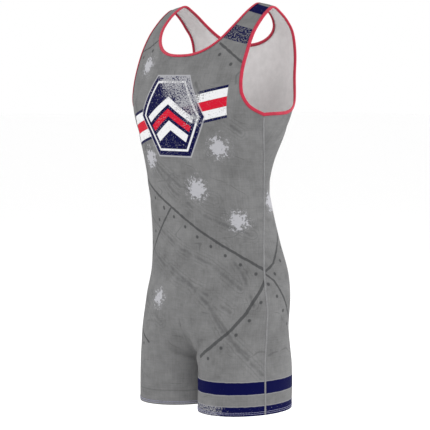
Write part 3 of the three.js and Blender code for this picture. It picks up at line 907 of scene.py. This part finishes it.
# Long faint brush strokes, and places where the print is rubbed pale: across, height and radius in mm.
FRONT_STROKES = [
    [(-150, -386), (-84, -420), (-10, -462), (64, -486), (130, -530)],
    [(-160, -436), (-96, -480), (-24, -516), (58, -540), (118, -572)],
    [(-70, -300), (-14, -352), (60, -398), (150, -430)],
    [(60, -150), (92, -196), (150, -240)],
    [(70, -560), (110, -600), (140, -640), (192, -690)],
    [(-150, -560), (-96, -576), (-52, -602)],
    [(-120, -190), (-96, -240), (-104, -300)],
    [(-96, -262), (-52, -306), (10, -344), (84, -366)],
    [(-40, -500), (20, -528), (70, -560), (112, -612), (160, -652)],
    [(92, -452), (128, -500), (160, -560)],
]
BACK_STROKES = [
    [(-150, -420), (-70, -452), (10, -470), (96, -520), (176, -560)],
    [(150, -250), (70, -290), (-20, -302), (-110, -330)],
    [(-60, -120), (-20, -170), (52, -200)],
    [(120, -590), (96, -640), (110, -690)],
    [(-170, -560), (-110, -600), (-96, -660)],
]
FRONT_RUBBED = [
    (104, -268, 15), (48, -346, 17), (126, -404, 14), (-78, -292, 16), (-92, -118, 13), (-64, -560, 12)
]
BACK_RUBBED = [(96, -236, 16), (-58, -300, 14), (148, -372, 15), (-110, -470, 17), (70, -560, 13)]

# The chest badge, in mm from its middle: the slanted bars, the chevrons and the steps in from its edge.
BADGE_HEIGHT = -212
BADGE_HALF_LENGTH = 130
BADGE_SLANT = -0.22
BADGE_BARS = ((-30, -25, NAVY), (-25, -9, WHITE), (-9, 9, PRINT_RED), (9, 25, WHITE), (25, 30, NAVY))
CHEVRON_SLOPE = 0.62
CHEVRONS = ((-26, -8, WHITE), (0, 14, PRINT_RED), (22, 36, WHITE))

# Navy blocks on the left strap and bands on the left leg, each from a lower to an upper height.
STRAP_BLOCKS = ((-23.5, -9.5, 0.68), (-77, -50, 0.56))
STRAP_MIDDLE = 124
STRAP_SLANT = 0.25
UPPER_LEG_BAND = (-724, -701)
LOWER_LEG_BAND = (-775, -746.5)
BAND_EDGE = 1.2
RIGHT_LEG_LINE = (-737, -735)
FAR_OFF = 99.0


def pairs(points):
    return zip(points[:-1], points[1:])


def rivets_beside(points, side):
    """Evenly spaced places on one side of a line."""
    path = np.array(points, float)
    length = lengths_along(path)
    count = max(1, round(length[-1] / RIVET_PITCH))
    at = (np.arange(count) + 0.5) * length[-1] / count
    here = np.stack([np.interp(at, length, path[:, k]) for k in (0, 1)], -1)
    ahead = np.stack([np.interp(at + 2, length, path[:, k]) for k in (0, 1)], -1)
    behind = np.stack([np.interp(at - 2, length, path[:, k]) for k in (0, 1)], -1)
    along = ahead - behind
    along /= np.linalg.norm(along, axis=1)[:, None]
    return here + side * RIVET_OFFSET * np.stack([along[:, 1], -along[:, 0]], -1)


def line_distance(s, start, end):
    """The distance from a printed line, in mm."""
    way = Vector((*end, 0)) - Vector((*start, 0))
    from_start = s.vector("SUBTRACT", s.flat, (*start, 0))
    along = s.math("MULTIPLY", s.vector("DOT_PRODUCT", from_start, tuple(way)), 1 / way.length_squared)
    along.node.use_clamp = True
    return s.vector("DISTANCE", from_start, s.vector("SCALE", tuple(way), scale=along))


def panel_lines(s, lines, wobble):
    """The share of dark line at a place, and the share of rivet."""
    line = FAR_OFF
    rivet = FAR_OFF
    for points, half_width, side in lines:
        for start, end in pairs(points):
            line = s.math("MINIMUM", line, s.math("SUBTRACT", line_distance(s, start, end), half_width))
        for u, v in rivets_beside(points, side):
            rivet = s.math("MINIMUM", rivet, s.vector("DISTANCE", s.flat, (float(u), float(v), 0)))
    return s.fade(s.add(line, wobble), 0.8, -0.5), s.fade(rivet, RIVET_RADIUS + 0.9, RIVET_RADIUS - 1.2)


def stroke_share(s, strokes, wobble):
    """The share of faint brush stroke at a place: a soft broken mark among the tracks of its bristles."""
    stroke = FAR_OFF
    for points in strokes:
        for start, end in pairs(points):
            stroke = s.math("MINIMUM", stroke, line_distance(s, start, end))
    broken = s.fade(s.noise(s.flat, 30, 3), 0.36, 0.56)
    near = s.add(stroke, s.times(wobble, 2))
    tracks = s.times(s.fade(s.math("SINE", s.times(near, 0.95)), 0, 1), s.fade(near, 24, 8), 0.55)
    return s.times(s.math("MAXIMUM", s.fade(near, 5.5, 0), tracks), broken)


def rubbed_share(s, places):
    """The share of pale ground that shows where the print is rubbed off: ragged, with a speckled edge."""
    inside = FAR_OFF
    for u, v, radius in places:
        distance = s.vector("DISTANCE", s.flat, (u, v, 0))
        inside = s.math("MINIMUM", inside, s.math("SUBTRACT", distance, radius))
    ragged = s.fade(s.noise(s.flat, 8, 5, 0.7), 0.3, 0.7, -11, 11)
    ragged_inside = s.add(inside, ragged)
    core = s.fade(ragged_inside, 2.5, -2.5)
    halo = s.times(s.fade(ragged_inside, 16, 2), s.fade(s.noise(s.flat, 3, 4, 0.75), 0.5, 0.62))
    return s.math("MAXIMUM", s.times(core, 0.7), s.times(halo, 0.4))


def band(s, value, low, high, soft=0.6):
    return s.times(s.fade(value, low - soft, low + soft), s.fade(value, high + soft, high - soft))


def chest_badge(s, colour, speckle):
    """A navy hexagon over slanted stripes, with chevrons on it, set on the middle of the chest and worn."""
    x = s.u
    y = s.add(s.v, -float(BADGE_HEIGHT))
    corner = s.times(s.fade(s.add(s.times(x, 0.8), y), 14, 62), s.fade(x, 84, 66))
    patchy = s.fade(s.noise(s.flat, 26, 3), 0.45, 0.6)
    wear = s.add(s.times(corner, 0.15), s.times(patchy, 0.045))
    solid = s.fade(s.math("SUBTRACT", speckle, wear), 0.34, 0.4)
    slanted = s.add(y, s.times(x, BADGE_SLANT))
    side = s.math("ABSOLUTE", x)
    reach = s.fade(side, BADGE_HALF_LENGTH + 1, BADGE_HALF_LENGTH - 1)
    for low, high, stripe in BADGE_BARS:
        colour = s.mix(s.times(band(s, slanted, low, high), reach, solid), colour, stripe)
    top = s.math("ABSOLUTE", y)
    slope = s.add(s.times(side, 0.866), s.times(top, 0.5))
    hexagon = s.math("MAXIMUM", slope, top)
    colour = s.mix(s.times(s.fade(hexagon, 77, 75.5), 0.5), colour, PALE)
    colour = s.mix(s.times(s.fade(hexagon, 74, 73), solid), colour, NAVY)
    colour = s.mix(s.times(band(s, hexagon, 61, 65), solid), colour, WHITE)
    chevron = s.add(y, s.times(side, CHEVRON_SLOPE))
    within = s.times(s.fade(hexagon, 55, 54), solid)
    for low, high, stripe in CHEVRONS:
        colour = s.mix(s.times(band(s, chevron, low, high), within), colour, stripe)
    return colour


def cloth_material(name, lines, strokes, rubbed, badge):
    """Printed stretch knit: brushed grey, worn and scratched, with panel lines, rivets and navy blocks."""
    s = Shading(name)
    clouds = s.noise(s.flat, 65, 4)
    blotches = s.noise(s.vector("ADD", s.flat, (300, 40, 0)), 20, 5, 0.65)
    upright = s.noise(s.flat, 2.4, 3, 0.7, (1, 16, 1))
    level = s.noise(s.vector("ADD", s.flat, (90, 0, 0)), 2.4, 3, 0.7, (14, 1, 1))
    fine = s.noise(s.flat, 1.8, 2, 0.6)
    smudge = s.fade(s.noise(s.vector("ADD", s.flat, (0, 620, 0)), 38, 5, 0.68), 0.52, 0.72)
    tone = s.add(
        s.fade(clouds, 0.3, 0.7, 0.9, 1.12),
        s.fade(blotches, 0.3, 0.7, -0.08, 0.08),
        s.fade(upright, 0.25, 0.75, -0.07, 0.07),
        s.fade(level, 0.25, 0.75, -0.06, 0.06),
        s.fade(fine, 0.2, 0.8, -0.04, 0.04),
        s.times(smudge, -0.16),
    )
    grey = s.vector("SCALE", GREY, scale=tone)
    wobble = s.fade(s.noise(s.flat, 9, 2), 0.3, 0.7, -0.5, 0.5)
    scratch_field = s.noise(s.flat, 70, 1, 0.5, (1.9, 1, 1))
    scratch = s.fade(s.math("ABSOLUTE", s.add(scratch_field, -0.52)), 0.009, 0.002)
    broken = s.fade(s.noise(s.flat, 40, 2), 0.5, 0.6)
    brushed = s.times(stroke_share(s, strokes, wobble), 0.36)
    colour = s.mix(s.math("MAXIMUM", s.times(scratch, broken, 0.3), brushed), grey, DARK_LINE)
    line, rivet = panel_lines(s, lines, wobble)
    colour = s.mix(s.times(line, 0.74), colour, DARK_LINE)
    colour = s.mix(s.times(rivet, 0.78), colour, DARK_LINE)
    colour = s.mix(rubbed_share(s, rubbed), colour, PALE)
    speckle = s.noise(s.flat, 3, 4, 0.75)
    if badge:
        colour = chest_badge(s, colour, speckle)

    strap_height = s.add(s.z, s.times(s.add(s.x, -float(STRAP_MIDDLE)), STRAP_SLANT))
    on_left_strap = s.fade(s.x, 60, 62)
    for low, high, wear in STRAP_BLOCKS:
        block = s.times(band(s, strap_height, low, high), s.fade(speckle, wear, wear - 0.06))
        colour = s.mix(s.times(block, on_left_strap), colour, NAVY)

    on_left_leg = s.fade(s.x, 0, 1)
    leg_height = s.add(s.z, s.times(wobble, 0.6))
    inner_front = s.times(s.fade(s.u, 132, 96), s.fade(s.y, 0, -20))
    lower_hold = s.fade(s.add(speckle, s.times(inner_front, 0.16)), 0.68, 0.62)
    upper_hold = s.fade(speckle, 0.74, 0.68)
    for (low, high), hold in ((UPPER_LEG_BAND, upper_hold), (LOWER_LEG_BAND, lower_hold)):
        edges = s.times(band(s, leg_height, low - BAND_EDGE, high + BAND_EDGE), on_left_leg)
        colour = s.mix(s.times(edges, 0.3), colour, PALE)
        colour = s.mix(s.times(band(s, leg_height, low, high), on_left_leg, hold), colour, NAVY)
    on_right_leg = s.fade(s.x, 0, -1)
    hem_line = band(s, leg_height, *RIGHT_LEG_LINE, 0.9)
    colour = s.mix(s.times(hem_line, on_right_leg, 0.3), colour, DARK_LINE)

    # The knit's fine ribs, and the step where the hem is folded up inside.
    ribs = s.math("SINE", s.times(s.u, 2 * math.pi / 1.3))
    courses = s.math("SINE", s.times(s.v, 2 * math.pi / 1.1))
    knit = s.bump(s.times(ribs, courses), 0.00012, 0.35)
    relief = s.bump(blotches, 0.0006, 0.3, knit)
    hem_step = s.bump(s.fade(s.z, -757, -755.4), 0.0006, 0.6, relief)
    rough = s.fade(clouds, 0.3, 0.7, 0.66, 0.76)
    s.shader.inputs["Specular IOR Level"].default_value = 0.04
    return s.finish(Base_Color=colour, Roughness=rough, Normal=hem_step)


def plain_material(name, colour, rough, spread=0.08, size=1.2, sheen=0.25):
    """Plain knit or thread of one colour, with a little unevenness and a fine weave."""
    s = Shading(name)
    uneven = s.fade(s.noise(s.place, size * 12, 3), 0.3, 0.7, 1 - spread, 1 + spread)
    fibres = s.noise(s.place, size, 3, 0.65)
    tone = s.add(uneven, s.fade(fibres, 0.25, 0.75, -spread / 2, spread / 2))
    s.shader.inputs["Sheen Weight"].default_value = sheen
    s.shader.inputs["Roughness"].default_value = rough
    s.shader.inputs["Specular IOR Level"].default_value = 0.3
    weave = s.bump(fibres, 0.0003, 0.35)
    return s.finish(Base_Color=s.vector("SCALE", colour, scale=tone), Normal=weave)


front_cloth = cloth_material("cloth_front", FRONT_LINES, FRONT_STROKES, FRONT_RUBBED, True)
back_cloth = cloth_material("cloth_back", BACK_LINES, BACK_STROKES, BACK_RUBBED, False)
inside_cloth = plain_material("cloth_inside", INSIDE, 0.8, 0.05)
binding_cloth = plain_material("binding", CRIMSON, 0.66, 0.1, 0.8, 0.08)
binding_thread = plain_material("binding_thread", (0.24, 0.007, 0.026), 0.55, 0.1, 0.6, 0.05)
seam_thread = plain_material("seam_thread", SEAM_GREY, 0.6, 0.1, 0.6, 0.05)
hem_thread = plain_material("hem_thread", (0.3, 0.3, 0.46), 0.55, 0.08, 0.6, 0.05)

sheets = {panel: panel_sheet(panel) for panel in ("front", "back")}


def keep(piece):
    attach(piece, "root")


def add_piece(name, made, material):
    keep(mesh_object(name, *made, [material]))


keep(panel_piece("front_cloth", sheets["front"], front_cloth, inside_cloth))
keep(panel_piece("back_cloth", sheets["back"], back_cloth, inside_cloth))


def binding_pieces(name, points, into):
    """A binding and its two rows of stitches, outside and inside."""
    up, out = binding_frame(points, into)
    made = swept(points, out, up, BINDING_SECTION, True)
    add_piece(name + "_strip", made, binding_cloth)
    rows = [
        stitch_row(points + out * BINDING_STITCH_OUT + up * height, up * side, 2.6, 0.82, 0.27, True)
        for height, side in ((BINDING_STITCH_UP, 1), (BINDING_INNER_STITCH_UP, -1))
    ]
    add_piece(name + "_stitches", joined(rows), binding_thread)


neck_points, neck_into = neck_stations(sheets)
binding_pieces("neck", neck_points, neck_into)
arm_points, arm_into = armhole_stations(sheets)
binding_pieces("left_armhole", arm_points, arm_into)
binding_pieces("right_armhole", arm_points[::-1] * (-1, 1, 1), arm_into[::-1] * (-1, 1, 1))

arm_row = {panel: sheets[panel]["half"]["arm_row"] for panel in sheets}
crotch_row = {panel: sheets[panel]["half"]["crotch_row"] for panel in sheets}
seams = []
for side in ("left", "right"):
    edge = {panel: sheets[panel][side][: arm_row[panel], -1] for panel in sheets}
    seams.append(flat_seam(*between(sheets, edge)))
    top = {panel: sheets[panel][side][-1] for panel in sheets}
    seams.append(flat_seam(*between(sheets, top)))
    inseam = {panel: sheets[panel][side][: crotch_row[panel] + 1, 0] for panel in sheets}
    seams.append(flat_seam(*between(sheets, inseam)))
add_piece("seam_stitching", joined(seams), seam_thread)

HEM_STITCH_ROWS = (3.8, 6.8)


def hem_ring(side, height):
    """The ring round a leg at a height above the hem edge: points and normals of both panels."""
    z = SECTIONS[-1][0] + height
    parts = []
    for panel, order in (("front", 1), ("back", -1)):
        sheet = sheets[panel]
        rows = sheet[side][: HEM_ROWS + 2]
        heights = sheet["points"][rows][..., 2]
        row = np.clip((heights < z).sum(0) - 1, 0, len(rows) - 2)
        column = np.arange(rows.shape[1])
        low, high = heights[row, column], heights[row + 1, column]
        share = ((z - low) / (high - low))[:, None]
        points = mix(sheet["points"][rows[row, column]], sheet["points"][rows[row + 1, column]], share)
        parts.append((points[::order], sheet["normals"][rows[row, column]][::order]))
    points = np.concatenate([parts[0][0][:-1], parts[1][0][:-1]])
    normals = np.concatenate([parts[0][1][:-1], parts[1][1][:-1]])
    return points, normals


hem_rows = []
for side in ("left", "right"):
    for height in HEM_STITCH_ROWS:
        points, normals = hem_ring(side, height)
        hem_rows.append(stitch_row(points + normals * 0.2, normals, 3, 0.84, 0.32, True))
add_piece("hem_stitching", joined(hem_rows), hem_thread)

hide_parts("front_panel")
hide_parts("back_panel")
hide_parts("neck_binding")
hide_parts("left_armhole_binding")
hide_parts("right_armhole_binding")

scene = bpy.context.scene
scene.view_settings.view_transform = "Standard"
scene.view_settings.look = "None"

# The camera stands at the photograph's angle, level with the chest, and looks a little down.
CAMERA_AZIMUTH = math.radians(46)
CAMERA_DISTANCE = 3.24
CAMERA_HEIGHT = -0.147
CAMERA_LOOKS_PAST = (0, -0.027, CAMERA_HEIGHT)
SENSOR_WIDTH = 36
PIXELS = 430
FOCAL_PIXELS = 1705
LEVEL_SIGHT_PIXEL = (211, 80.9)  # where the picture shows what lies straight ahead and level
AIM_RIGHT = (PIXELS / 2 - LEVEL_SIGHT_PIXEL[0]) / FOCAL_PIXELS
AIM_DOWN = (PIXELS / 2 - LEVEL_SIGHT_PIXEL[1]) / FOCAL_PIXELS
forward = Vector((-math.sin(CAMERA_AZIMUTH), math.cos(CAMERA_AZIMUTH), 0))
rightward = Vector((math.cos(CAMERA_AZIMUTH), math.sin(CAMERA_AZIMUTH), 0))
camera_data = bpy.data.cameras.new("camera")
camera_data.sensor_width = SENSOR_WIDTH
camera_data.lens = FOCAL_PIXELS / PIXELS * SENSOR_WIDTH
camera = bpy.data.objects.new("camera", camera_data)
camera.location = Vector(CAMERA_LOOKS_PAST) - forward * CAMERA_DISTANCE
aim = forward + rightward * AIM_RIGHT - Vector((0, 0, AIM_DOWN))
camera.rotation_euler = aim.to_track_quat("-Z", "Y").to_euler()
scene.collection.objects.link(camera)
scene.camera = camera

FLOOR_HEIGHT = -0.95
FLOOR_REACH = 30
FLOOR_CORNERS = ((-1, -1), (1, -1), (1, 1), (-1, 1))
LIGHTS_LOOK_AT = (0, 0, -0.38)
# Azimuth and elevation in degrees, distance and size in metres, power in watts.
LIGHTS = {
    "key": (8, 38, 2.6, 1.6, 21),
    "fill": (112, 18, 2.8, 2.0, 32),
    "back": (170, 30, 2.8, 1.8, 28),
    "side": (300, 20, 2.8, 2.0, 18),
}


def stage_piece(name, points, faces, colour):
    s = Shading(name)
    s.shader.inputs["Roughness"].default_value = 0.9
    material = s.finish(Base_Color=colour)
    mesh = bpy.data.meshes.new(name)
    mesh.from_pydata(points, [], faces)
    mesh.materials.append(material)
    piece = bpy.data.objects.new(name, mesh)
    scene.collection.objects.link(piece)


floor = [(x * FLOOR_REACH, y * FLOOR_REACH, FLOOR_HEIGHT) for x, y in FLOOR_CORNERS]
stage_piece("floor", floor, [(0, 1, 2, 3)], (0.99, 0.99, 0.99))


def area_light(name, azimuth, elevation, distance, size, power):
    """A square soft light that looks at the middle of the garment."""
    data = bpy.data.lights.new(name, "AREA")
    data.size = size
    data.energy = power
    light = bpy.data.objects.new(name, data)
    around, up = math.radians(azimuth), math.radians(elevation)
    level = math.cos(up)
    towards = Vector((math.sin(around) * level, -math.cos(around) * level, math.sin(up)))
    light.location = Vector(LIGHTS_LOOK_AT) + towards * distance
    light.rotation_euler = (-towards).to_track_quat("-Z", "Y").to_euler()
    scene.collection.objects.link(light)


for name, values in LIGHTS.items():
    area_light(name, *values)
world = bpy.data.worlds.new("world")
world.use_nodes = True
world.node_tree.nodes["Background"].inputs["Color"].default_value = (1, 1, 1, 1)
world.node_tree.nodes["Background"].inputs["Strength"].default_value = 1.0
scene.world = world
